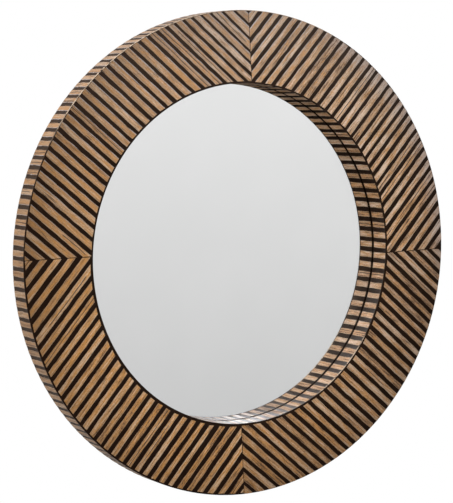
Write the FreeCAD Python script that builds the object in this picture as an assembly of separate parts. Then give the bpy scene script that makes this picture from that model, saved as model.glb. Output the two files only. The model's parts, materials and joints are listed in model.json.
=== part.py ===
import FreeCAD, Part
import math
import os

# Round wall mirror with a wide flat frame that is inlaid with strips of wood in black resin.
# Millimetres. +Z is up, the glass faces -Y, and +X is to the right of someone who looks in.
# The origin is the centre of the circle on the wall plane, y = 0.
# Depths are counted from the wall plane towards the viewer, so a depth d lies at y = -d.

# Driving sizes of the whole mirror
outer_radius = 457.2
frame_width = 135.8
core_thickness = 45.0
wall_gap = 6.0
overrun = 1.0

# Inlay: strips of wood, with resin between them that is sunk a little below their faces
strip_width = 11.6
gap_width = 7.6
strip_thickness = 3.5
resin_sink_depth = 0.4
mitre_width = 1.4
glass_end_gap = 1.2
glue_thickness = 0.05
gap_wobble_share = 0.1
ragged_end_share = 0.12
least_chip_share = 0.25

# Strips on the two round walls of the frame
outer_strips_per_quarter = 39
inner_strips_per_quarter = 25
wall_strip_width = 11.1
wall_wobble_share = 0.07

# Glass, and the board that holds it in its rebate
glass_thickness = 5.0
glass_lap_width = 10.5
glass_side_clearance = 1.0
board_thickness = 3.0
board_lap_width = 15.0

# Hangers: a bent strap with two screw holes, and a D-ring that swings in its curl
hanger_spread = 400.0
strap_clearance = 19.3
strap_width = 16.0
strap_thickness = 1.2
strap_length = 52.0
screw_hole_radius = 2.1
hole_end_distance = 10.0
hole_spacing = 18.0
ring_pin_radius = 1.5
pin_clearance = 0.1
curl_slit_height = 0.5
ring_eye_width = 19.0
ring_eye_height = 12.5
ring_eye_corner = 5.0
ring_band_width = 3.0
ring_thickness = 2.4

# Rubber bumpers that keep the hangers off the wall
bumper_width = 22.0
bumper_inset = 32.2
bumper_chamfer = 1.0
bumper_count = 4

# Each quarter of the face is laid by hand in one direction. Its first gap is placed by a share of
# the outer radius, and the others follow at one pitch. They are moved by shift_shares of the pitch
# and widened by gap_shares, which hold at every fifth gap and change evenly between. The strips
# stop short of the outer edge by edge_share of a strip's width, and of the opening by rim_share.
LAYS = {
    "top_right": dict(angle=49.5, first_share=-0.696, edge_share=0.05, rim_share=0.17,
                      shift_shares=[0.0, 0.34, 0.3, -0.08, 0.06, 0.32, 0.14, 0.24],
                      gap_shares=[1.2, 1.18, 1.04, 0.95, 1.05, 1.0, 1.0, 1.05]),
    "top_left": dict(angle=-38.0, first_share=-0.551, edge_share=0.1, rim_share=0.28,
                     shift_shares=[0.0, 0.12, 0.0, -0.18, -0.32, -0.42, -1.28, -1.48],
                     gap_shares=[1.1, 1.0, 1.05, 0.97, 0.98, 0.9, 0.65, 0.65]),
    "bottom_left": dict(angle=50.5, first_share=-0.574, edge_share=0.19, rim_share=0.45,
                        shift_shares=[0.0, 0.32, 0.26, 0.36, 0.6, 0.54, 1.02, 1.3],
                        gap_shares=[1.22, 1.35, 1.19, 1.1, 1.13, 1.1, 1.4, 1.3]),
    "bottom_right": dict(angle=-39.0, first_share=-0.693, edge_share=0.05, rim_share=0.3,
                         shift_shares=[0.0, -0.14, -0.36, -0.22, -0.06, -0.22, -0.48, -0.5],
                         gap_shares=[0.95, 1.02, 1.16, 1.13, 1.19, 1.2, 1.05, 1.0]),
}
SHARE_STEP = 5
QUARTERS = list(LAYS)
FULL_TURN = 360.0
QUARTER_TURN = FULL_TURN / len(QUARTERS)
# How far the mitre at the start of each quarter is turned from the radius, anticlockwise from +X.
MITRE_TURNS = [2.4, 4.5, 1.9, 3.7]

# Depths and radii worked out from the sizes above
pitch = strip_width + gap_width
opening_radius = outer_radius - frame_width
glass_depth = wall_gap + glass_thickness
core_front = wall_gap + core_thickness
face_front = core_front + strip_thickness
core_outer = outer_radius - strip_thickness
core_inner = opening_radius + strip_thickness
glass_radius = opening_radius + glass_lap_width
rebate_radius = glass_radius + glass_side_clearance
board_radius = rebate_radius + board_lap_width
middle_radius = outer_radius - frame_width / 2
bumper_radius = outer_radius - bumper_inset
# The lower inner corner of each hanger strap stays clear of the back board.
strap_corner_radius = board_radius + strap_clearance
strap_corner_side = (hanger_spread - strap_width) / 2
pivot_height = strap_length + math.sqrt(strap_corner_radius ** 2 - strap_corner_side ** 2)


def wobble(number, seed):
    """A steady value from -1 to 1 for one strip, so that the widths are uneven as if cut by hand."""
    return math.sin(12.9898 * number + 78.233 * seed) * math.cos(4.1414 * number - 3.7 * seed)


def disc(radius, depth, thickness):
    """A round plate whose back lies at a depth, and which grows towards the viewer."""
    return Part.makeCylinder(radius, thickness, FreeCAD.Vector(0, -depth, 0), FreeCAD.Vector(0, -1, 0))


def ring(outside, inside, depth, thickness):
    hole = disc(inside, depth - overrun, thickness + 2 * overrun)
    return disc(outside, depth, thickness).cut(hole)


def flat_solid(points, depth, thickness):
    """A prism on an outline of (x, z) points."""
    corners = [FreeCAD.Vector(x, -depth, z) for x, z in points]
    face = Part.Face(Part.makePolygon(corners + corners[:1]))
    return face.extrude(FreeCAD.Vector(0, -thickness, 0))


def polar(radius, degrees):
    turn = math.radians(degrees)
    return radius * math.cos(turn), radius * math.sin(turn)


def save(node, solids):
    """Writes one node. Its pieces stay separate solids."""
    shape = solids[0] if len(solids) == 1 else Part.makeCompound(solids)
    shape.exportStep(f"parts/{node}.step")


def core_ring():
    """The board core of the frame, with a rebate at the back for the glass."""
    core = ring(core_outer, core_inner, wall_gap, core_thickness)
    rebate = disc(rebate_radius, wall_gap - overrun, glass_thickness + overrun)
    save("core_ring", [core.cut(rebate)])


def mitre_points(number, side):
    """The inner and outer ends of one edge of a mitre line, half a joint to one side of it."""
    start = number * QUARTER_TURN
    x, z = polar(middle_radius, start)
    along = start + MITRE_TURNS[number % len(MITRE_TURNS)]
    reach_x, reach_z = polar(outer_radius - opening_radius, along)
    push_x, push_z = polar(mitre_width / 2, along + side * QUARTER_TURN)
    inner = (x - reach_x + push_x, z - reach_z + push_z)
    outer = (x + reach_x + push_x, z + reach_z + push_z)
    return inner, outer


def flat_face(points):
    corners = [FreeCAD.Vector(x, -core_front, z) for x, z in points]
    return Part.Face(Part.makePolygon(corners + corners[:1]))


def field_radii(lay):
    """The two circles that one quarter's strips lie between."""
    edge = outer_radius - lay["edge_share"] * strip_width
    rim = opening_radius + lay["rim_share"] * strip_width
    return edge, rim


def quarter_field(number, lay):
    """The part of the face that one quarter's strips may fill."""
    first_inner, first_outer = mitre_points(number, 1)
    last_inner, last_outer = mitre_points(number + 1, -1)
    corner = polar(2 * outer_radius, (number + 0.5) * QUARTER_TURN)
    sector = flat_face([first_inner, first_outer, corner, last_outer, last_inner])
    circles = []
    for radius in field_radii(lay):
        edge = Part.makeCircle(radius, FreeCAD.Vector(0, -core_front, 0), FreeCAD.Vector(0, -1, 0))
        circles.append(Part.Face(Part.Wire(edge)))
    return circles[0].cut(circles[1]).common(sector)


def share_at(shares, number):
    """The share that holds at one gap, on straight lines between the stated ones."""
    place = min(max(number / SHARE_STEP, 0), len(shares) - 1)
    before = min(int(place), len(shares) - 2)
    return shares[before] + (shares[before + 1] - shares[before]) * (place - before)


def gap_place(lay, number):
    """How far a gap's middle lies from the centre, across the strips."""
    steps = number + share_at(lay["shift_shares"], number)
    return outer_radius * lay["first_share"] + pitch * steps


def gap_half(lay, number, seed):
    share = share_at(lay["gap_shares"], number)
    return gap_width / 2 * share * (1 + gap_wobble_share * wobble(number, seed))


def ragged_outline(piece, lay, seed):
    """A strip's corners. Those on the frame's two edges are cut back unevenly along the strip."""
    along_x, along_z = polar(1, lay["angle"])
    middle = piece.CenterOfMass
    corners = []
    for vertex in piece.OuterWire.OrderedVertexes:
        x, z = vertex.X, vertex.Z
        radius = math.hypot(x, z)
        if min(abs(radius - edge) for edge in field_radii(lay)) < glue_thickness:
            inward = (middle.x - x) * along_x + (middle.z - z) * along_z
            cut = ragged_end_share * strip_width * (1 + wobble(x + z, seed)) / 2
            x += math.copysign(cut, inward) * along_x
            z += math.copysign(cut, inward) * along_z
        corners.append((x, z))
    return corners


def face_strips(number):
    """The strips of one quarter, with straight-cut ends at its mitres and the frame's two edges."""
    lay = LAYS[QUARTERS[number]]
    field = quarter_field(number, lay)
    along_x, along_z = polar(1, lay["angle"])
    least_area = least_chip_share * strip_width * strip_width
    reach = math.ceil(2 * outer_radius / pitch)
    strips = []
    for gap in range(-reach, reach):
        low = gap_place(lay, gap) + gap_half(lay, gap, number)
        high = gap_place(lay, gap + 1) - gap_half(lay, gap + 1, number)
        outline = []
        for across, side in ((low, -1), (low, 1), (high, 1), (high, -1)):
            far = side * 2 * outer_radius
            outline.append((far * along_x - across * along_z, far * along_z + across * along_x))
        for piece in field.common(flat_face(outline)).Faces:
            if piece.Area > least_area:
                corners = ragged_outline(piece, lay, number)
                strips.append(flat_solid(corners, core_front, strip_thickness))
    return strips


def face_inlay():
    every_strip = []
    for number, quarter in enumerate(QUARTERS):
        strips = face_strips(number)
        save(f"face_strips_{quarter}", strips)
        every_strip += strips
        print(quarter, "strips on the face:", len(strips))
    bed = ring(outer_radius, opening_radius, core_front, strip_thickness - resin_sink_depth)
    save("face_resin", bed.cut(Part.makeCompound(every_strip)).Solids)


def wall_block(back, front, start, end, depth):
    """A straight bar across a round wall, between two radii and two angles, up to the face inlay."""
    corners = [polar(back, start), polar(front, start), polar(front, end), polar(back, end)]
    return flat_solid(corners, depth, core_front - depth)


def wall_inlay(wall, per_quarter, back, strip_front, resin_front, strip_depth, resin_depth):
    """Strips of wood across one round wall, each followed by a bar of resin."""
    count = per_quarter * len(QUARTERS)
    strip_turn = math.degrees(wall_strip_width / strip_front)
    edges = []
    for number in range(count + 1):
        half = strip_turn / 2 * (1 + wall_wobble_share * wobble(number % count, per_quarter))
        middle = (number + 0.5) * FULL_TURN / count
        edges.append((middle - half, middle + half))
    for number, quarter in enumerate(QUARTERS):
        strips = []
        bars = []
        for place in range(number * per_quarter, (number + 1) * per_quarter):
            low, high = edges[place]
            following = edges[place + 1][0]
            strips.append(wall_block(back, strip_front, low, high, strip_depth))
            bars.append(wall_block(back, resin_front, high, following, resin_depth))
        save(f"{wall}_wall_strips_{quarter}", strips)
        save(f"{wall}_wall_resin_{quarter}", bars)


def wall_inlays():
    """The bars are straight, so on the outer wall only their middles lie against the core, and on
    the inner wall only their corners, a line of glue away."""
    bar_turn = wall_strip_width * (1 + wall_wobble_share) / outer_radius
    wall_inlay("outer", outer_strips_per_quarter, core_outer / math.cos(bar_turn / 2),
               outer_radius, outer_radius - resin_sink_depth, wall_gap, wall_gap)
    wall_inlay("inner", inner_strips_per_quarter, core_inner - glue_thickness, opening_radius,
               opening_radius + resin_sink_depth, glass_depth + glass_end_gap, glass_depth)


def glass_and_board():
    save("mirror_glass", [disc(glass_radius, wall_gap, glass_thickness)])
    save("back_board", [disc(board_radius, wall_gap - board_thickness, board_thickness)])


def hanger_strap(middle):
    """A strip of steel curled over the ring's pin, with two screw holes."""
    curl_inside = ring_pin_radius + pin_clearance
    curl_outside = curl_inside + strap_thickness
    pivot_depth = wall_gap - curl_outside
    plate_depth = wall_gap - strap_thickness
    left = middle - strap_width / 2
    pivot = FreeCAD.Vector(left, -pivot_depth, pivot_height)
    sideways = FreeCAD.Vector(1, 0, 0)
    strap_end = pivot_height - strap_length
    plate = Part.makeBox(strap_width, strap_thickness, strap_length,
                         FreeCAD.Vector(left, -wall_gap, strap_end))
    strap = plate.fuse(Part.makeCylinder(curl_outside, strap_width, pivot, sideways))
    strap = strap.cut(Part.makeCylinder(curl_inside, strap_width, pivot, sideways))
    slit = Part.makeBox(strap_width, curl_slit_height, curl_outside,
                        FreeCAD.Vector(left, -plate_depth, pivot_height - curl_outside))
    strap = strap.cut(slit)
    for above_end in (hole_end_distance, hole_end_distance + hole_spacing):
        hole_start = FreeCAD.Vector(middle, overrun - plate_depth, strap_end + above_end)
        strap = strap.cut(Part.makeCylinder(screw_hole_radius, strap_thickness + 2 * overrun,
                                            hole_start, FreeCAD.Vector(0, -1, 0)))
    return strap.removeSplitter()


def bow(middle, half_width, drop, corner):
    """The outline of a ring's three lower sides, hung from the height of its pin."""
    foot = pivot_height - drop
    return [(middle - half_width, pivot_height), (middle - half_width, foot + corner),
            (middle - half_width + corner, foot), (middle + half_width - corner, foot),
            (middle + half_width, foot + corner), (middle + half_width, pivot_height)]


def d_ring(middle):
    """A ring cut from flat steel, on a round pin, that hangs straight down over its strap."""
    pivot_depth = wall_gap - ring_pin_radius - pin_clearance - strap_thickness
    back_depth = pivot_depth - ring_thickness / 2
    eye_half = ring_eye_width / 2
    outer_half = eye_half + ring_band_width
    outer_corner = ring_eye_corner + ring_band_width * (2 - math.sqrt(2))
    plate = flat_solid(bow(middle, outer_half, ring_eye_height + ring_band_width, outer_corner),
                       back_depth, ring_thickness)
    eye = flat_solid(bow(middle, eye_half, ring_eye_height, ring_eye_corner), back_depth, ring_thickness)
    pin = Part.makeCylinder(ring_pin_radius, 2 * outer_half,
                            FreeCAD.Vector(middle - outer_half, -pivot_depth, pivot_height),
                            FreeCAD.Vector(1, 0, 0))
    return plate.cut(eye).fuse(pin).removeSplitter()


def hangers():
    middles = {"left": -hanger_spread / 2, "right": hanger_spread / 2}
    save("hanger_straps", [hanger_strap(middle) for middle in middles.values()])
    for name, middle in middles.items():
        save(f"d_ring_{name}", [d_ring(middle)])


def bumpers():
    """Square rubber pads with an eased edge, on the diagonals of the frame's back."""
    pads = []
    for number in range(bumper_count):
        x, z = polar(bumper_radius, (number + 0.5) * FULL_TURN / bumper_count)
        corner = FreeCAD.Vector(x - bumper_width / 2, -wall_gap, z - bumper_width / 2)
        pad = Part.makeBox(bumper_width, wall_gap, bumper_width, corner)
        rim = [edge for edge in pad.Edges if all(vertex.Y > -wall_gap / 2 for vertex in edge.Vertexes)]
        pads.append(pad.makeChamfer(bumper_chamfer, rim))
    save("wall_bumpers", pads)


os.makedirs("parts", exist_ok=True)
core_ring()
face_inlay()
wall_inlays()
glass_and_board()
hangers()
bumpers()
print("face lies", face_front, "mm in front of the wall, glass", glass_depth, "mm")
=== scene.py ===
import json
import math

import bmesh
import bpy
from mathutils import Matrix, Vector, noise


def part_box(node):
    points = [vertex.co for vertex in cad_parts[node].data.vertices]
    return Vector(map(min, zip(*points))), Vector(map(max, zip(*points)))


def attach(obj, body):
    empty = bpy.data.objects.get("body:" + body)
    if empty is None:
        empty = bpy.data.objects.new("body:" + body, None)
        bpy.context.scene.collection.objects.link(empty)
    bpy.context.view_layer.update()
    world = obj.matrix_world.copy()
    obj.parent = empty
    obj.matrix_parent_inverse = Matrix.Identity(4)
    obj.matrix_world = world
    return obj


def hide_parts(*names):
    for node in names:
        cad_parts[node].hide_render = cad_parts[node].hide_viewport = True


# A round wall mirror whose wide frame is inlaid with strips of wood in black resin.
# Metres. +Z is up, the glass faces -Y, and the wall plane is y = 0.

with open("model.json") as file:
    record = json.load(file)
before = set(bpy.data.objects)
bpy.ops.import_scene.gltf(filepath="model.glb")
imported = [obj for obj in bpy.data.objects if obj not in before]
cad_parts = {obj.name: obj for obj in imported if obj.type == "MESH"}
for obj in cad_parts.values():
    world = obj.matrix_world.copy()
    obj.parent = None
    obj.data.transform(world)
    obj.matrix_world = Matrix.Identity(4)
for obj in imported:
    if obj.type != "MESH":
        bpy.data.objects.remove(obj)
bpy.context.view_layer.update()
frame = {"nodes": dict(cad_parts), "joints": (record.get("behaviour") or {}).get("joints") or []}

MIRROR_BODY = "framed_mirror"
SIDES = {"left": "left_ring", "right": "right_ring"}
# How the strips of each quarter of the face run, in degrees above +X.
LAY_ANGLES = {"top_right": 49.5, "top_left": -38.0, "bottom_left": 50.5, "bottom_right": -39.0}
TOWARDS_VIEWER = Vector((0, -1, 0))
# The opening in the face, which no node's box gives
OPENING_RADIUS = 0.3214

# Places and sizes read from the frame
face_low, face_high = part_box("face_strips_top_left")
resin_low, resin_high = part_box("face_resin")
core_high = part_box("core_ring")[1]
glass_low, glass_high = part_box("mirror_glass")
board_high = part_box("back_board")[1]
FACE_FRONT = face_low.y
FACE_BACK = face_high.y
RESIN_FRONT = resin_low.y
FRAME_BACK = core_high.y
GLASS_FRONT = glass_low.y
GLASS_BACK = glass_high.y
GLASS_RADIUS = glass_high.x
BOARD_BACK = board_high.y
OUTER_RADIUS = resin_high.x
CORE_OUTER = core_high.x
CORE_INNER = OPENING_RADIUS + FACE_BACK - FACE_FRONT
RESIN_SINK = RESIN_FRONT - FACE_FRONT


class Value:
    """A shader socket that takes part in sums."""

    def __init__(self, paint, socket):
        self.paint = paint
        self.socket = socket

    def sum_node(self, operation, first, second):
        return self.paint.node("ShaderNodeMath", {0: first, 1: second}, operation=operation)

    def __add__(self, other):
        return self.sum_node("ADD", self, other)

    __radd__ = __add__

    def __mul__(self, other):
        return self.sum_node("MULTIPLY", self, other)

    __rmul__ = __mul__

    def __sub__(self, other):
        return self.sum_node("SUBTRACT", self, other)

    def __rsub__(self, other):
        return self.sum_node("SUBTRACT", other, self)

    def __abs__(self):
        return self.sum_node("ABSOLUTE", self, 0)


class Paint:
    """The nodes of one material, or of the world."""

    def __init__(self, owner):
        owner.use_nodes = True
        self.tree = owner.node_tree
        self.tree.nodes.clear()

    def node(self, kind, sockets, output=0, **settings):
        """Adds a node, with its settings first and then the values or links of its sockets."""
        made = self.tree.nodes.new(kind)
        for name, setting in settings.items():
            setattr(made, name, setting)
        for key, value in sockets.items():
            if isinstance(value, Value):
                self.tree.links.new(value.socket, made.inputs[key])
            else:
                made.inputs[key].default_value = value
        return Value(self, made.outputs[output]) if made.outputs else None

    def vector(self, x, y, z=0.0):
        return self.node("ShaderNodeCombineXYZ", {0: x, 1: y, 2: z})

    def parts(self, vector):
        return [self.node("ShaderNodeSeparateXYZ", {0: vector}, output) for output in range(3)]

    def attribute(self, name):
        return self.node("ShaderNodeAttribute", {}, "Fac", attribute_name=name)

    def grain(self):
        """Metres along and across a strip of wood or a gap."""
        return self.parts(self.node("ShaderNodeUVMap", {}, uv_map="grain"))[:2]

    def place(self):
        """Metres on the mirror's own axes."""
        return self.node("ShaderNodeTexCoord", {}, "Object")

    def noise(self, vector, scale=1.0, detail=2.0, roughness=0.5):
        sockets = {"Vector": vector, "Scale": scale, "Detail": detail, "Roughness": roughness}
        return self.node("ShaderNodeTexNoise", sockets)

    def smooth(self, value, low, high, reach=1.0):
        """Rises from 0 at low to reach at high."""
        sockets = {0: value, 1: low, 2: high, 3: 0.0, 4: reach}
        return self.node("ShaderNodeMapRange", sockets, interpolation_type="SMOOTHSTEP")

    def mix(self, mask, low, high):
        return self.node("ShaderNodeMix", {0: mask, 6: low, 7: high}, 2, data_type="RGBA")

    def scaled(self, colour, factor):
        return self.node("ShaderNodeVectorMath", {0: colour, 3: factor}, operation="SCALE")

    def bump(self, height, distance, strength=1.0):
        sockets = {"Height": height, "Distance": distance, "Strength": strength}
        return self.node("ShaderNodeBump", sockets)

    def surface(self, **sockets):
        """The shader. A socket's name is written with an underscore for each space."""
        named = {name.replace("_", " "): value for name, value in sockets.items()}
        shader = self.node("ShaderNodeBsdfPrincipled", named)
        self.node("ShaderNodeOutputMaterial", {"Surface": shader})


def rgb(red, green, blue):
    """A colour from its screen values out of 255."""
    linear = []
    for value in (red, green, blue):
        share = value / 255
        linear.append(share / 12.92 if share <= 0.04045 else ((share + 0.055) / 1.055) ** 2.4)
    return (*linear, 1.0)


# Colours of the wood, each as it is at the lower left and as it is, paler and greyer, at the upper right
GOLDEN = (rgb(217, 151, 71), rgb(217, 159, 98))
GREYED = (rgb(202, 149, 90), rgb(204, 163, 124))
CREAM = (rgb(240, 203, 162), rgb(245, 218, 193))
# Colours that are laid over those
RUBBED_EDGE = rgb(184, 160, 138)
# A painted highlight along the strips' upper edge at the upper left
PAINTED_EDGE_HIGHLIGHT = rgb(206, 198, 198)
GREY_OUTER_END = rgb(214, 204, 204)
# The pale of the outer wall, and of the painted sheen on the inner wall
WOOD_PALING_AND_SHEEN = rgb(180, 171, 169)
BROWN_GRAIN = rgb(106, 70, 38)
DARK_GRAIN = rgb(66, 44, 28)
RESIN_IN_SPLIT = rgb(52, 34, 22)
WOOD_PORE = rgb(112, 76, 44)
# The brown towards which the wood is darkened, partly as painted shade
DARKENED_WOOD = rgb(104, 68, 38)
# The brightness about which the wood's grain varies, and what is added to it
MIDDLE_LIGHT = 0.49
ADDED_LIGHT = 0.01
# A strip is split where its chance passes these
SPLIT_CHANCE = (0.57, 0.58)


def inlay_wood():
    """Thin strips of pale wood with golden, grey, cream and brown grain.

    They are greyer along their edges, and at the upper left have a painted highlight along their upper
    edge. At the right and the upper right their ends are greyer. The mesh says where they are darkened,
    partly as painted shade, where they are paled, partly as a painted sheen, and where they are matt.
    """
    material = bpy.data.materials.new("inlay_wood")
    paint = Paint(material)
    along, across = paint.grain()
    seed = paint.attribute("seed")
    tone = paint.attribute("tone")
    side = paint.attribute("across")
    shade_and_darkening = paint.attribute("shade_and_darkening")
    matt = paint.attribute("matt")
    x, z = paint.parts(paint.place())[::2]
    fibre = paint.noise(paint.vector(along * 60, across * 2200, seed * 19), detail=3) - 0.5
    mottle = paint.noise(paint.vector(along * 105, across * 250, seed * 31), detail=2, roughness=0.6)
    speckle = paint.noise(paint.vector(along * 300, across * 420, seed * 83), detail=2)
    streak = paint.noise(paint.vector(along * 26, across * 330, seed * 57), detail=2)
    patch = paint.noise(paint.vector(along * 14, across * 60, seed * 13), detail=2)
    grain_line = paint.noise(paint.vector(along * 32, across * 900, seed * 41), detail=2)
    pore = paint.noise(paint.vector(along * 260, across * 1300, seed * 71), detail=1)

    # Paler and greyer towards the upper right
    paler_to_upper_right = paint.smooth(0.72 * x + 0.85 * z + 0.25 * patch, -0.3, 0.5)
    pale = paler_to_upper_right + paint.smooth(0 - z - 0.5 * x, 0.12, 0.35, 0.25)
    plain = paint.smooth(0.8 * z - x, 0.05, 0.4)
    contrast = (0.3 * speckle + 0.68 * streak - MIDDLE_LIGHT) * (1 - 0.4 * plain)
    light = MIDDLE_LIGHT + contrast + 0.12 * tone + 0.24 * fibre + ADDED_LIGHT
    golden = paint.mix(paler_to_upper_right, *GOLDEN)
    greyed = paint.mix(paler_to_upper_right, *GREYED)
    cream = paint.mix(pale, *CREAM)
    cast = paint.noise(paint.vector(seed * 700, 9.0), detail=0) - 0.5
    grey = paint.smooth(mottle + 0.5 * fibre + 0.6 * cast, 0.39, 0.59)
    colour = paint.mix(grey, golden, greyed)
    colour = paint.mix(paint.smooth(light, 0.55, 0.69, 0.76), colour, cream)

    colour = paint.mix(paint.smooth(abs(side), 0.4, 1.0, 0.5), colour, RUBBED_EDGE)
    # Painted highlight: the upper edge of each strip at the upper left, where the light catches it
    upper_edge = paint.smooth(side + 0.3 * speckle, 0.8, 1.0, 0.8)
    edge_highlight = upper_edge * paint.smooth(0.85 * z - 0.5 * x, 0.14, 0.36)
    colour = paint.mix(edge_highlight, colour, PAINTED_EDGE_HIGHLIGHT)
    # Greyer outer ends of the strips at the right and the upper right
    outer_end = paint.smooth(x * x + z * z, 0.17, 0.205, 0.42)
    grey_outer_end = outer_end * paint.smooth(0.85 * x + 0.55 * z, 0.33, 0.41)
    colour = paint.mix(grey_outer_end, colour, GREY_OUTER_END)
    # Paler outer wall, and a painted sheen where the inner wall faces up and on its lower sides
    colour = paint.mix(paint.attribute("paling_and_sheen"), colour, WOOD_PALING_AND_SHEEN)
    brown = paint.smooth(0 - light, -0.53, -0.37) * (1 - 0.3 * plain)
    colour = paint.mix(brown, colour, BROWN_GRAIN)
    dark = paint.smooth(grain_line + 0.35 * patch, 0.8, 0.87, 0.8)
    colour = paint.mix(dark, colour, DARK_GRAIN)

    # Some strips are split along their grain, and the resin has run in
    chance = paint.noise(paint.vector(seed * 900, 5.0), detail=0)
    wander = side + paint.noise(paint.vector(along * 9, seed * 60)) - 2 * chance + 0.7
    split = paint.smooth(0 - abs(wander), -0.2, -0.08, 0.85) * paint.smooth(patch, 0.42, 0.48)
    colour = paint.mix(split * paint.smooth(chance, *SPLIT_CHANCE), colour, RESIN_IN_SPLIT)

    colour = paint.mix(paint.smooth(pore, 0.56, 0.7, 0.5), colour, WOOD_PORE)
    # Darkened wood; the darkening by quarter and on the inner wall is painted shade
    darkened_colour = paint.mix(0.3 * shade_and_darkening, colour, DARKENED_WOOD)
    colour = paint.scaled(darkened_colour, 0.95 - 0.48 * shade_and_darkening + 0.5 * fibre)
    roughness = 0.5 - 0.1 * mottle + 0.12 * speckle + 0.4 * matt
    height = 0.5 * speckle + fibre - dark - 0.4 * pore
    paint.surface(Base_Color=colour, Roughness=roughness, Coat_Weight=0.3 - 0.3 * matt,
                  Coat_Roughness=0.22, Normal=paint.bump(height, 0.0002, 0.6))
    return material


FRESH_RESIN = (rgb(29, 15, 8), rgb(40, 24, 15))
# The colour of a painted sheen on the upper part of the face's resin
TOP_RESIN_SHEEN = rgb(66, 52, 45)
WOOD_DUST = rgb(72, 54, 42)
RESIN_SPECK = rgb(92, 80, 72)
# The colour of a painted highlight along the resin's corners
RESIN_CORNER_HIGHLIGHT = rgb(198, 176, 154)
# The pale of a painted sheen on the inner wall's resin
PAINTED_RESIN_SHEEN = rgb(184, 174, 168)
RESIN_TINT = (1.0, 0.75, 0.54, 1.0)
# Metres in front of the wall plane between which the painted sheen on the face's resin begins
TOP_SHEEN_DEPTHS = (0.0532, 0.0538)


def black_resin():
    """Near-black brown resin, poured between the strips and rubbed back.

    It has a painted sheen on the upper part of the face, is dusty on the outer wall, and has a painted
    highlight along the outer corner at the upper left and the inner corner at the lower right. The mesh
    says where the inner wall's resin has a painted pale sheen and where it is matt.
    """
    material = bpy.data.materials.new("black_resin")
    paint = Paint(material)
    along, across = paint.grain()
    x, y, z = paint.parts(paint.place())
    flow = paint.noise(paint.vector(along * 60, across * 260), detail=3)
    speck = paint.noise(paint.place(), 900, 2, 0.6)
    glint_spots = paint.noise(paint.place(), 130, 3, 0.7)
    haze = paint.smooth(flow, 0.45, 0.75)
    colour = paint.mix(haze, *FRESH_RESIN)
    # Painted sheen on the upper part of the face's resin
    top_sheen = paint.smooth(z, 0.1, 0.42, 0.38) * paint.smooth(0 - y, *TOP_SHEEN_DEPTHS)
    colour = paint.mix(top_sheen, colour, TOP_RESIN_SHEEN)
    dust = paint.attribute("dust") * paint.smooth(flow + 0.2 * speck, 0.35, 0.75)
    colour = paint.mix(dust, colour, WOOD_DUST)
    colour = paint.mix(paint.smooth(speck, 0.66, 0.74, 0.4), colour, RESIN_SPECK)
    # Painted highlight: glints along the outer corner at the upper left and the inner corner at the
    # lower right
    upper_left = paint.attribute("outer_corner") * paint.smooth(0.95 * z - 0.3 * x, 0.3, 0.38)
    lower_right = paint.attribute("inner_corner") * paint.smooth(0.8 * x - 0.8 * z, 0.35, 0.358)
    corner_highlight = (upper_left + lower_right) * paint.smooth(glint_spots, 0.34, 0.54)
    colour = paint.mix(corner_highlight, colour, RESIN_CORNER_HIGHLIGHT)
    # Painted sheen on the inner wall's resin
    colour = paint.mix(paint.attribute("paling_and_sheen"), colour, PAINTED_RESIN_SHEEN)
    roughness = 0.36 + 0.2 * haze + 0.2 * dust + 0.5 * paint.attribute("matt")
    paint.surface(Base_Color=colour, Roughness=roughness, Specular_IOR_Level=0.2,
                  Specular_Tint=RESIN_TINT, Normal=paint.bump(flow, 0.0006, 0.7))
    return material


def clear_glass():
    """Clear float glass, a little uneven in tint."""
    material = bpy.data.materials.new("clear_glass")
    paint = Paint(material)
    wipe = paint.noise(paint.place(), 9, 3)
    colour = paint.mix(paint.smooth(wipe, 0.3, 0.8), (0.985, 0.99, 0.988, 1), (0.995, 0.998, 0.997, 1))
    paint.surface(Base_Color=colour, Transmission_Weight=1.0, Roughness=0.0, IOR=1.5)
    return material


def silver():
    """The silver on the back of the glass."""
    material = bpy.data.materials.new("silver")
    paint = Paint(material)
    wipe = paint.noise(paint.place(), 5, 2)
    colour = paint.mix(paint.smooth(wipe, 0.3, 0.8), (0.93, 0.93, 0.93, 1), (0.945, 0.945, 0.945, 1))
    paint.surface(Base_Color=colour, Metallic=1.0, Roughness=0.0)
    return material


def painted_board():
    """The core's board, painted matt black, with the board's fibres showing through."""
    material = bpy.data.materials.new("painted_board")
    paint = Paint(material)
    place = paint.place()
    fibre = paint.noise(place, 700, 4, 0.7)
    scuff = paint.noise(place, 26, 5, 0.65)
    colour = paint.mix(paint.smooth(fibre, 0.3, 0.8), rgb(24, 23, 22), rgb(38, 36, 34))
    colour = paint.mix(paint.smooth(scuff, 0.62, 0.78, 0.5), colour, rgb(70, 62, 54))
    roughness = 0.6 + 0.25 * scuff
    paint.surface(Base_Color=colour, Roughness=roughness, Normal=paint.bump(fibre, 0.0002, 0.5))
    return material


# How fast the press's print goes up and down on hardboard, in radians a metre
PRINT_WAVES = 3600


def hardboard():
    """Brown hardboard: pressed fibres, with a faint cloth-like print of its press."""
    material = bpy.data.materials.new("hardboard")
    paint = Paint(material)
    place = paint.place()
    x, z = paint.parts(place)[::2]
    fibre = paint.noise(place, 420, 5, 0.7)
    cloud = paint.noise(place, 14, 4, 0.6)
    warp = paint.node("ShaderNodeMath", {0: x * PRINT_WAVES}, operation="SINE")
    weft = paint.node("ShaderNodeMath", {0: z * PRINT_WAVES}, operation="SINE")
    colour = paint.mix(paint.smooth(cloud, 0.3, 0.75), rgb(128, 94, 64), rgb(150, 114, 80))
    colour = paint.mix(paint.smooth(fibre, 0.55, 0.75, 0.6), colour, rgb(88, 62, 42))
    height = fibre + 0.25 * (warp * weft)
    roughness = 0.72 + 0.16 * fibre
    paint.surface(Base_Color=colour, Roughness=roughness, Normal=paint.bump(height, 0.0002, 0.6))
    return material


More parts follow.
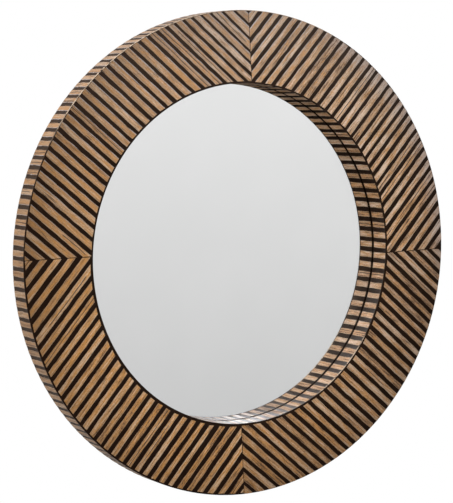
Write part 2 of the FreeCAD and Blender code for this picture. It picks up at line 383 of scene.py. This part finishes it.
def nickel_steel():
    """Nickel-plated steel, brushed along its height and a little cloudy."""
    material = bpy.data.materials.new("nickel_steel")
    paint = Paint(material)
    x, y, z = paint.parts(paint.place())
    brush = paint.noise(paint.vector(x * 2600, y * 2600, z * 160), detail=3)
    cloud = paint.noise(paint.place(), 120, 3)
    colour = paint.mix(cloud, rgb(178, 172, 160), rgb(206, 202, 194))
    paint.surface(Base_Color=colour, Metallic=1.0, Roughness=0.22 + 0.2 * brush,
                  Normal=paint.bump(brush, 0.00004, 0.5))
    return material


def black_rubber():
    """Moulded black rubber with dust on it."""
    material = bpy.data.materials.new("black_rubber")
    paint = Paint(material)
    grain = paint.noise(paint.place(), 1500, 3, 0.6)
    dust = paint.noise(paint.place(), 160, 4, 0.6)
    colour = paint.mix(paint.smooth(dust, 0.5, 0.8), rgb(30, 30, 31), rgb(58, 57, 56))
    paint.surface(Base_Color=colour, Roughness=0.7 + 0.2 * dust, Normal=paint.bump(grain, 0.0001, 0.6))
    return material


WOOD = inlay_wood()
RESIN = black_resin()
STEEL = nickel_steel()


def add_piece(name, mesh, body, materials, replaced=()):
    """Turns a mesh into a piece that rides on a body."""
    data = bpy.data.meshes.new(name)
    mesh.to_mesh(data)
    mesh.free()
    piece = bpy.data.objects.new(name, data)
    bpy.context.scene.collection.objects.link(piece)
    for material in materials:
        data.materials.append(material)
    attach(piece, body)
    if replaced:
        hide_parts(*replaced)


def solid_copy(node):
    """A copy of a CAD node's mesh, with its loose triangles merged into flat faces."""
    mesh = bmesh.new()
    mesh.from_mesh(frame["nodes"][node].data)
    bmesh.ops.remove_doubles(mesh, verts=mesh.verts, dist=1e-6)
    bmesh.ops.dissolve_limit(mesh, angle_limit=math.radians(1), verts=mesh.verts, edges=mesh.edges)
    return mesh


def bevel_edges(mesh, edges, width, segments):
    bmesh.ops.bevel(mesh, geom=edges, offset=width, offset_type="OFFSET", segments=segments, profile=0.5,
                    affect="EDGES", material=-1, clamp_overlap=True)


def separate_solids(mesh):
    """The vertices of each strip in a mesh of many."""
    groups = []
    seen = set()
    for start in mesh.verts:
        if start in seen:
            continue
        seen.add(start)
        group = [start]
        for vertex in group:
            for edge in vertex.link_edges:
                other = edge.other_vert(vertex)
                if other not in seen:
                    seen.add(other)
                    group.append(other)
        groups.append(group)
    return groups


# The strips of wood: how often a strip's edge is cut, how far it wavers, and how wide it is eased
CUT_LENGTH = 0.011
EDGE_WAVER = 0.0012
WAVES_PER_METRE = 55
STRIP_EDGE = 0.00042
# How far the wood is darkened and paled, from 0 to 1. The darkening by quarter and on the inner wall
# is painted shade, and the paling of the inner wall is a painted sheen
QUARTER_SHADES = {"top_right": 0.0, "top_left": 0.15, "bottom_left": 0.02, "bottom_right": 0.25}
EDGE_DARKENING = 0.44
OUTER_DARKENING = 0.3
LEFT_DARKENING = 0.2
INNER_SHADE = 0.23
OUTER_PALING = 0.18
INNER_SHEEN = 0.48
SIDE_SHEEN = 0.22
# The painted sheen that pales the inner wall's resin where it faces up, and on the wall's lower half
GAP_SHEEN = 0.35
LOWER_GAP_SHEEN = 0.06


def face_directions(quarter):
    """A strip's directions along the grain, across it and out of its surface, from its middle."""
    turn = math.radians(LAY_ANGLES[quarter])
    along = Vector((math.cos(turn), 0, math.sin(turn)))
    return lambda middle: (along, Vector((-along.z, 0, along.x)), TOWARDS_VIEWER)


def wall_directions(outwards):
    """The same for the outer wall, where outwards is 1, and for the inner wall, where it is -1."""
    def directions(middle):
        radial = Vector((middle.x, 0, middle.z)).normalized()
        return -TOWARDS_VIEWER, Vector((-radial.z, 0, radial.x)), radial * outwards
    return directions


def strip_frame(group, directions):
    """A strip's directions along and across the grain, its middle and its half width."""
    middle = sum((vertex.co for vertex in group), Vector()) / len(group)
    along, across = directions(middle)[:2]
    offsets = [(vertex.co - middle).dot(across) for vertex in group]
    centre = (max(offsets) + min(offsets)) / 2
    return along, across, middle + across * centre, (max(offsets) - min(offsets)) / 2


def strip_seed(number, set_number):
    """A number from 0 to 1 that is each strip's own."""
    return (number * 0.618034 + set_number * 0.37) % 1


def waver_edges(mesh, directions, set_number):
    """Cuts the strips along their length and makes their edges a little uneven, as sawn by hand."""
    for number, group in enumerate(separate_solids(mesh)):
        along, across, middle, half = strip_frame(group, directions)
        seed = strip_seed(number, set_number)
        for vertex in group:
            offset = (vertex.co - middle).dot(across)
            on_edge = abs(offset) > 0.8 * half
            if on_edge:
                wave = vertex.co.dot(along) * WAVES_PER_METRE
                place = Vector((wave, seed * 90, math.copysign(5, offset)))
                vertex.co += across * EDGE_WAVER * noise.noise(place)


def held(value):
    """The value, held between 0 and 1."""
    return min(max(value, 0), 1)


def face_shade_and_darkening(quarter):
    """Darker towards the face's outer edge and the left, with painted shade in some quarters."""
    def shade_and_darkening(place):
        out = (math.hypot(place.x, place.z) - OPENING_RADIUS) / (OUTER_RADIUS - OPENING_RADIUS)
        left = max(-place.x / OUTER_RADIUS, 0)
        return QUARTER_SHADES[quarter] + EDGE_DARKENING * out * out + LEFT_DARKENING * left ** 4
    return shade_and_darkening


def bare(place):
    """No mark."""
    return 0.0


def outer_darkening(place):
    return OUTER_DARKENING


def outer_paling(place):
    return OUTER_PALING


def inner_shade(place):
    """Painted shade on the inner wall, less at its bottom and its top."""
    height = place.z / OPENING_RADIUS
    return INNER_SHADE * min(held(2 * height + 0.8), 1.6 - height)


def facing_up(place):
    """How much the inner wall faces up at a place, from 0 at its sides to 1 at the bottom."""
    return held(-6 * place.z / OPENING_RADIUS - 5)


def inner_sheen(place):
    """A painted sheen paling the inner wall where it faces up, and a little at the sides of its lower
    half.
    """
    lower_side = held(-3 * place.z / OPENING_RADIUS)
    return max(INNER_SHEEN * facing_up(place), SIDE_SHEEN * lower_side)


def inner_matt(place):
    """The inner wall has no shine left where it faces down."""
    return held(0.4 + 1.2 * place.z / OPENING_RADIUS)


def mark_grain(mesh, directions, marks, set_number):
    """Writes each strip's own place along and across the grain, its seed, tone and other marks."""
    grain = mesh.loops.layers.uv.new("grain")
    seed_layer = mesh.verts.layers.float.new("seed")
    tone_layer = mesh.verts.layers.float.new("tone")
    across_layer = mesh.verts.layers.float.new("across")
    mark_layers = {name: mesh.verts.layers.float.new(name) for name in marks}
    for number, group in enumerate(separate_solids(mesh)):
        along, across, middle, half = strip_frame(group, directions)
        seed = strip_seed(number, set_number)
        tone = (seed * 7.31 + 0.23) % 1
        for vertex in group:
            offset = (vertex.co - middle).dot(across)
            vertex[seed_layer] = seed
            vertex[tone_layer] = tone
            vertex[across_layer] = offset / half
            for name, mark in marks.items():
                vertex[mark_layers[name]] = mark(vertex.co)
            for loop in vertex.link_loops:
                loop[grain].uv = (vertex.co.dot(along), offset)


def add_strips(node, directions, marks, set_number):
    """Replaces one set of plain strips with strips that waver, with eased and marked edges."""
    mesh = solid_copy(node)
    cut_along = directions(Vector())[0]
    reach = math.ceil(OUTER_RADIUS / CUT_LENGTH)
    for number in range(-reach, reach):
        everything = mesh.verts[:] + mesh.edges[:] + mesh.faces[:]
        cut = cut_along * (number + 0.5) * CUT_LENGTH
        bmesh.ops.bisect_plane(mesh, geom=everything, plane_co=cut, plane_no=cut_along, dist=1e-6)
    waver_edges(mesh, directions, set_number)
    mesh.normal_update()
    rims = []
    for edge in mesh.edges:
        if len(edge.link_faces) == 2 and edge.calc_face_angle(0) > math.radians(45):
            middle = (edge.verts[0].co + edge.verts[1].co) / 2
            front = directions(middle)[2]
            if max(face.normal.dot(front) for face in edge.link_faces) > 0.9:
                rims.append(edge)
    bevel_edges(mesh, rims, STRIP_EDGE, 2)
    mark_grain(mesh, directions, marks, set_number)
    add_piece(node.replace("strips", "wood"), mesh, MIRROR_BODY, [WOOD], [node])


def strips():
    outer_marks = {"shade_and_darkening": outer_darkening, "paling_and_sheen": outer_paling, "matt": bare}
    inner_marks = {"shade_and_darkening": inner_shade, "paling_and_sheen": inner_sheen, "matt": inner_matt}
    set_number = 0
    for quarter in LAY_ANGLES:
        face_marks = {"shade_and_darkening": face_shade_and_darkening(quarter), "paling_and_sheen": bare, "matt": bare}
        sets = (("face", face_directions(quarter), face_marks),
                ("outer_wall", wall_directions(1), outer_marks),
                ("inner_wall", wall_directions(-1), inner_marks))
        for surface, directions, marks in sets:
            add_strips(f"{surface}_strips_{quarter}", directions, marks, set_number)
            set_number += 1


# The resin, one unbroken skin round the frame's outer wall, face and inner wall
OUTER_BEAD_RADIUS = 0.0011
INNER_BEAD_RADIUS = 0.0005
BEAD_PROUD = 0.00035
BEAD_RISE = 0.0007
BEAD_STEPS = 4
RESIN_TURNS = 288
RESIN_CREASE = math.radians(35)


def resin_profile():
    """(radius, y) points round the skin, anticlockwise as seen with the radius to the right."""
    outer = OUTER_RADIUS - RESIN_SINK
    inner = OPENING_RADIUS + RESIN_SINK
    outer_bead = outer + BEAD_PROUD
    inner_bead = inner - BEAD_PROUD
    bead_back = FACE_BACK - BEAD_RISE
    points = [(CORE_OUTER, FRAME_BACK), (outer, FRAME_BACK), (outer, FACE_BACK), (outer_bead, bead_back)]
    beads = ((1, OUTER_BEAD_RADIUS, outer_bead), (-1, INNER_BEAD_RADIUS, inner_bead))
    for side, radius, edge in beads:
        corner = []
        for step in range(BEAD_STEPS + 1):
            turn = math.radians(90 * step / BEAD_STEPS)
            out = edge - side * radius * (1 - math.cos(turn))
            corner.append((out, RESIN_FRONT + radius * (1 - math.sin(turn))))
        points += corner[::side]
    points += [(inner_bead, bead_back), (inner, FACE_BACK), (inner, GLASS_FRONT),
               (CORE_INNER, GLASS_FRONT), (CORE_INNER, FACE_BACK), (CORE_OUTER, FACE_BACK)]
    return points


def spin_round(mesh, points, turns):
    """Turns a closed outline of (radius, y) points about the mirror's axis into a solid."""
    verts = [mesh.verts.new((radius, y, 0)) for radius, y in points]
    edges = [mesh.edges.new((verts[number - 1], verts[number])) for number in range(len(verts))]
    bmesh.ops.spin(mesh, geom=verts + edges, cent=(0, 0, 0), axis=(0, 1, 0), angle=2 * math.pi,
                   steps=turns, use_merge=True, use_duplicate=False, dvec=(0, 0, 0))
    bmesh.ops.recalc_face_normals(mesh, faces=mesh.faces)


def quarter_of(place):
    side = "right" if place.x > 0 else "left"
    return f"top_{side}" if place.z > 0 else f"bottom_{side}"


def mark_flow(mesh):
    """Writes the resin's place along and across its gaps, where it is dusty, where its corners have a
    painted highlight and where the inner wall has a painted sheen.
    """
    grain = mesh.loops.layers.uv.new("grain")
    dust = mesh.verts.layers.float.new("dust")
    outer_corner = mesh.verts.layers.float.new("outer_corner")
    inner_corner = mesh.verts.layers.float.new("inner_corner")
    paling_and_sheen = mesh.verts.layers.float.new("paling_and_sheen")
    matt = mesh.verts.layers.float.new("matt")
    for vertex in mesh.verts:
        radius = math.hypot(vertex.co.x, vertex.co.z)
        outside = radius > (OUTER_RADIUS + OPENING_RADIUS) / 2
        on_wall = vertex.co.y > FACE_BACK - OUTER_BEAD_RADIUS
        vertex[dust] = float(outside and on_wall)
        # Painted sheen on the inner wall's resin where it faces up and on its lower half
        if on_wall and not outside:
            lower = held(-2.5 * vertex.co.z / OPENING_RADIUS - 0.6)
            vertex[paling_and_sheen] = max(GAP_SHEEN * facing_up(vertex.co), LOWER_GAP_SHEEN * lower)
            vertex[matt] = inner_matt(vertex.co)
        on_corner = RESIN_FRONT < vertex.co.y < FACE_BACK
        vertex[outer_corner] = float(outside and on_corner)
        vertex[inner_corner] = float(on_corner and not outside)
    for face in mesh.faces:
        middle = face.calc_center_median()
        along, across = face_directions(quarter_of(middle))(middle)[:2]
        on_wall = abs(face.normal.y) < 0.5
        for loop in face.loops:
            place = loop.vert.co
            turn = math.atan2(middle.z, middle.x)
            radial = Vector((math.cos(turn), 0, math.sin(turn)))
            tangent = Vector((-radial.z, 0, radial.x))
            walls = (place.y, turn * OUTER_RADIUS + (place - middle).dot(tangent))
            loop[grain].uv = walls if on_wall else (place.dot(along), place.dot(across))


def resin_skin():
    """The resin between all the strips: they stand a little proud of it."""
    mesh = bmesh.new()
    spin_round(mesh, resin_profile(), RESIN_TURNS)
    mark_flow(mesh)
    mesh.normal_update()
    for edge in mesh.edges:
        edge.smooth = edge.calc_face_angle(0) < RESIN_CREASE
    for face in mesh.faces:
        face.smooth = True
    replaced = ["face_resin"]
    for quarter in LAY_ANGLES:
        replaced += [f"outer_wall_resin_{quarter}", f"inner_wall_resin_{quarter}"]
    add_piece("resin_skin", mesh, MIRROR_BODY, [RESIN], replaced)


# The mirror glass
GLASS_FACETS = 256
GLASS_ARRIS = 0.0006
BOARD_CLEARANCE = 0.0002


def lay_back(mesh, verts):
    """Turns what was made about Z so that it lies about Y."""
    bmesh.ops.rotate(mesh, verts=verts, cent=(0, 0, 0), matrix=Matrix.Rotation(math.pi / 2, 3, "X"))


def mirror_pane():
    """Clear glass, silvered on its back face, with ground edges."""
    mesh = bmesh.new()
    back = GLASS_BACK - BOARD_CLEARANCE
    bmesh.ops.create_cone(mesh, cap_ends=True, segments=GLASS_FACETS, radius1=GLASS_RADIUS,
                          radius2=GLASS_RADIUS, depth=back - GLASS_FRONT)
    lay_back(mesh, mesh.verts)
    bmesh.ops.translate(mesh, verts=mesh.verts, vec=(0, (GLASS_FRONT + back) / 2, 0))
    mesh.normal_update()
    rims = [edge for edge in mesh.edges if edge.calc_face_angle(0) > math.radians(60)]
    bevel_edges(mesh, rims, GLASS_ARRIS, 1)
    mesh.normal_update()
    for face in mesh.faces:
        if face.normal.y > 0.99:
            face.material_index = 1
    materials = [clear_glass(), silver()]
    add_piece("mirror_pane", mesh, MIRROR_BODY, materials, ["mirror_glass"])


# The hangers' wire rings, bent to a D through the curls of their straps
WIRE_RADIUS = 0.00125
RING_HALF_WIDTH = 0.011
RING_DROP = 0.014
RING_TOP_CORNER = 0.0022
RING_LOW_CORNER = 0.0062
WIRE_SIDES = 16
BEND_STEPS = 10


class Wire:
    """A round wire that is drawn out straight and bent about Y, an end loop at a time."""

    def __init__(self, mesh, start):
        self.mesh = mesh
        turn = Matrix.Translation(start) @ Matrix.Rotation(math.pi / 2, 4, "Y")
        made = bmesh.ops.create_circle(mesh, segments=WIRE_SIDES, radius=WIRE_RADIUS, matrix=turn)
        self.verts = made["verts"]
        self.edges = list({edge for vertex in self.verts for edge in vertex.link_edges})
        self.place = Vector(start)
        self.heading = Vector((1, 0, 0))

    def take(self, geometry):
        self.verts = [part for part in geometry if isinstance(part, bmesh.types.BMVert)]
        self.edges = [part for part in geometry if isinstance(part, bmesh.types.BMEdge)]

    def run(self, length):
        made = bmesh.ops.extrude_edge_only(self.mesh, edges=self.edges)
        loop = [part for part in made["geom"] if not isinstance(part, bmesh.types.BMFace)]
        self.take(loop)
        bmesh.ops.translate(self.mesh, verts=self.verts, vec=self.heading * length)
        self.place += self.heading * length

    def bend(self, radius, degrees):
        turn = Matrix.Rotation(math.radians(degrees), 3, "Y")
        centre = self.place + Matrix.Rotation(math.pi / 2, 3, "Y") @ self.heading * radius
        made = bmesh.ops.spin(self.mesh, geom=self.verts + self.edges, cent=centre, axis=(0, 1, 0),
                              angle=math.radians(degrees), steps=BEND_STEPS, dvec=(0, 0, 0),
                              use_merge=False, use_duplicate=False)
        self.take(made["geom_last"])
        self.place = centre + turn @ (self.place - centre)
        self.heading = turn @ self.heading


def wire_rings():
    pivots = {joint["child"]: Vector(joint["pos_m"]) for joint in frame["joints"]}
    for side, body in SIDES.items():
        mesh = bmesh.new()
        wire = Wire(mesh, pivots[body])
        across = RING_HALF_WIDTH - RING_TOP_CORNER
        down = RING_DROP - RING_TOP_CORNER - RING_LOW_CORNER
        wire.run(across)
        wire.bend(RING_TOP_CORNER, 90)
        wire.run(down)
        wire.bend(RING_LOW_CORNER, 90)
        wire.run(2 * (RING_HALF_WIDTH - RING_LOW_CORNER))
        wire.bend(RING_LOW_CORNER, 90)
        wire.run(down)
        wire.bend(RING_TOP_CORNER, 90)
        wire.run(across)
        bmesh.ops.remove_doubles(mesh, verts=mesh.verts, dist=1e-5)
        bmesh.ops.recalc_face_normals(mesh, faces=mesh.faces)
        for face in mesh.faces:
            face.smooth = True
        add_piece(f"wire_ring_{side}", mesh, body, [STEEL], [f"d_ring_{side}"])


# Cross-head screws
BOARD_SCREWS = 12
SCREW_CIRCLE_RADIUS = 0.3404
SCREW_RADIUS = 0.0034
SCREW_HEIGHT = 0.0015
SCREW_SIDES = 24
SCREW_TURN = 1.3
STRAP_PLATE_BACK = -0.0048
STRAP_SCREW_HEIGHTS = (0.323, 0.341)
# Shares of a head's radius and height: its recess, its flat crown, and each fall of its flank
RECESS_ARM = 0.55
RECESS_HALF_WIDTH = 0.14
RECESS_TAPER = 0.8
RECESS_DEPTH = 0.7
CROWN = 0.68
FLANK = ((1.28, 0.35), (1.15, 0.65))


def screw_head(mesh, place, turn):
    """A domed head with a cross recess, seen from +Y."""
    arm = RECESS_ARM * SCREW_RADIUS
    web = RECESS_HALF_WIDTH * SCREW_RADIUS
    outline = [(arm, -web), (arm, web), (web, web), (web, arm), (-web, arm), (-web, web),
               (-arm, web), (-arm, -web), (-web, -web), (-web, -arm), (web, -arm), (web, -web)]
    cross = [mesh.verts.new((x, SCREW_HEIGHT, z)) for x, z in outline]
    cross_edges = [mesh.edges.new((cross[number - 1], cross[number])) for number in range(len(cross))]
    rim = bmesh.ops.create_circle(mesh, segments=SCREW_SIDES, radius=CROWN * SCREW_RADIUS)["verts"]
    lay_back(mesh, rim)
    bmesh.ops.translate(mesh, verts=rim, vec=(0, SCREW_HEIGHT, 0))
    rim_edges = list({edge for vertex in rim for edge in vertex.link_edges})
    bmesh.ops.bridge_loops(mesh, edges=cross_edges + rim_edges)
    every_vert = cross + rim
    for widening, drop in FLANK:
        made = bmesh.ops.extrude_edge_only(mesh, edges=rim_edges)["geom"]
        rim = [part for part in made if isinstance(part, bmesh.types.BMVert)]
        rim_edges = [part for part in made if isinstance(part, bmesh.types.BMEdge)
                     and part.verts[0] in rim and part.verts[1] in rim]
        bmesh.ops.scale(mesh, verts=rim, vec=(widening, 1, widening))
        bmesh.ops.translate(mesh, verts=rim, vec=(0, -SCREW_HEIGHT * drop, 0))
        every_vert += rim
    made = bmesh.ops.extrude_edge_only(mesh, edges=cross_edges)["geom"]
    floor = [part for part in made if isinstance(part, bmesh.types.BMVert)]
    floor_edges = [part for part in made if isinstance(part, bmesh.types.BMEdge)]
    bmesh.ops.scale(mesh, verts=floor, vec=(RECESS_TAPER, 1, RECESS_TAPER))
    bmesh.ops.translate(mesh, verts=floor, vec=(0, -SCREW_HEIGHT * RECESS_DEPTH, 0))
    bmesh.ops.contextual_create(mesh, geom=floor_edges)
    every_vert += floor
    bmesh.ops.rotate(mesh, verts=every_vert, cent=(0, 0, 0), matrix=Matrix.Rotation(turn, 3, "Y"))
    bmesh.ops.translate(mesh, verts=every_vert, vec=place)


def screws():
    board = bmesh.new()
    for number in range(BOARD_SCREWS):
        turn = 2 * math.pi * (number + 0.5) / BOARD_SCREWS
        x = SCREW_CIRCLE_RADIUS * math.cos(turn)
        z = SCREW_CIRCLE_RADIUS * math.sin(turn)
        screw_head(board, (x, BOARD_BACK, z), number * SCREW_TURN)
    bmesh.ops.recalc_face_normals(board, faces=board.faces)
    add_piece("board_screws", board, MIRROR_BODY, [STEEL])
    strap = bmesh.new()
    for side in SIDES:
        low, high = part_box(f"d_ring_{side}")
        for number, height in enumerate(STRAP_SCREW_HEIGHTS):
            place = ((low.x + high.x) / 2, STRAP_PLATE_BACK, height)
            screw_head(strap, place, low.x + number)
    bmesh.ops.recalc_face_normals(strap, faces=strap.faces)
    add_piece("strap_screws", strap, MIRROR_BODY, [STEEL])


def back_parts():
    """Gives the CAD nodes that stay as they are their materials."""
    for node, material in (("core_ring", painted_board()), ("back_board", hardboard()),
                           ("wall_bumpers", black_rubber()), ("hanger_straps", STEEL)):
        data = frame["nodes"][node].data
        data.materials.clear()
        data.materials.append(material)


strips()
resin_skin()
mirror_pane()
wire_rings()
screws()
back_parts()

# The camera stands where the photograph's did
CAMERA_PLACE = (-1.8067, -3.0456, 0.2437)
CAMERA_YAW, CAMERA_PITCH, CAMERA_ROLL = (math.radians(turn) for turn in (-30.514, -3.911, -0.99))
CAMERA_LENS = 133.12
SENSOR_WIDTH = 36


def add_camera():
    data = bpy.data.cameras.new("camera")
    data.lens = CAMERA_LENS
    data.sensor_width = SENSOR_WIDTH
    camera = bpy.data.objects.new("camera", data)
    level = Matrix.Rotation(math.pi / 2, 4, "X")
    turn = (Matrix.Rotation(CAMERA_YAW, 4, "Z") @ Matrix.Rotation(CAMERA_PITCH, 4, "X")
            @ Matrix.Rotation(CAMERA_ROLL, 4, "Y"))
    camera.matrix_world = Matrix.Translation(CAMERA_PLACE) @ turn @ level
    bpy.context.scene.collection.objects.link(camera)
    bpy.context.scene.camera = camera


# A white room: what the mirror shows of it darkens downwards
ROOM_LEVEL = 0.86
ROOM_SLOPE = 1.36
ROOM_LIMITS = (0.3, 1.0)
# What gloss shows of the room, and how much more of it behind the mirror
ROOM_SHEEN = 0.1
BACK_SHEEN = 0.28
# How strongly the room lights the mirror
AMBIENT = 0.44
WHITE = (1, 1, 1, 1)

# A pale floor, which the camera sees as white
FLOOR_HEIGHT = -1.4
FLOOR_WIDTH = 60.0
FLOOR_COLOUR = (0.45, 0.45, 0.45, 1)


def add_room():
    world = bpy.data.worlds.new("room")
    bpy.context.scene.world = world
    paint = Paint(world)
    depth, height = paint.parts(paint.node("ShaderNodeTexCoord", {}, "Generated"))[1:]
    seen = paint.node("ShaderNodeLightPath", {}, "Is Camera Ray")
    glossy = paint.node("ShaderNodeLightPath", {}, "Is Glossy Ray")
    through = paint.node("ShaderNodeLightPath", {}, "Is Transmission Ray")
    darkest, brightest = ROOM_LIMITS
    falling = ROOM_LEVEL + ROOM_SLOPE * height
    mirrored = paint.node("ShaderNodeClamp", {0: falling, 1: darkest, 2: brightest})
    sheen = ROOM_SHEEN + paint.smooth(depth, 0.0, 0.6, BACK_SHEEN)
    level = AMBIENT + glossy * (sheen - AMBIENT)
    level = level + through * (mirrored - level)
    level = level + seen * (1 - level)
    background = paint.node("ShaderNodeBackground", {"Color": WHITE, "Strength": level})
    paint.node("ShaderNodeOutputWorld", {"Surface": background})


def add_floor():
    mesh = bmesh.new()
    bmesh.ops.create_grid(mesh, x_segments=2, y_segments=2, size=FLOOR_WIDTH / 2)
    bmesh.ops.translate(mesh, verts=mesh.verts, vec=(0, 0, FLOOR_HEIGHT))
    data = bpy.data.meshes.new("floor")
    mesh.to_mesh(data)
    mesh.free()
    plane = bpy.data.objects.new("floor", data)
    bpy.context.scene.collection.objects.link(plane)
    material = bpy.data.materials.new("pale_floor")
    paint = Paint(material)
    seen = paint.node("ShaderNodeLightPath", {}, "Is Camera Ray")
    pale = paint.node("ShaderNodeBsdfDiffuse", {"Color": FLOOR_COLOUR})
    white = paint.node("ShaderNodeEmission", {"Color": WHITE, "Strength": 1.0})
    shown = paint.node("ShaderNodeMixShader", {0: seen, 1: pale, 2: white})
    paint.node("ShaderNodeOutputMaterial", {"Surface": shown})
    data.materials.append(material)
    plane.visible_glossy = False
    plane.visible_transmission = False


# Soft round lamps that face the middle of the mirror: place, width, power and colour
LAMPS = {
    "left_softbox": ((-4.4, -2.0, 1.9), 2.6, 140, (1.0, 0.99, 0.97)),
    "overhead_softbox": ((-0.6, -1.1, 3.4), 2.6, 80, (0.95, 0.98, 1.0)),
    "back_softbox": ((4.8, 3.4, 1.4), 2.6, 170, (1.0, 0.99, 0.97)),
    "right_softbox": ((2.9, -4.6, 1.25), 1.0, 28, (0.84, 0.92, 1.0)),
}


def add_lamps():
    for name, (place, width, power, colour) in LAMPS.items():
        data = bpy.data.lights.new(name, "AREA")
        data.shape = "DISK"
        data.size = width
        data.energy = power
        data.color = colour
        lamp = bpy.data.objects.new(name, data)
        lamp.location = place
        lamp.rotation_euler = (-Vector(place)).to_track_quat("-Z", "Y").to_euler()
        bpy.context.scene.collection.objects.link(lamp)


add_camera()
add_room()
add_floor()
add_lamps()
bpy.context.scene.view_settings.view_transform = "Standard"
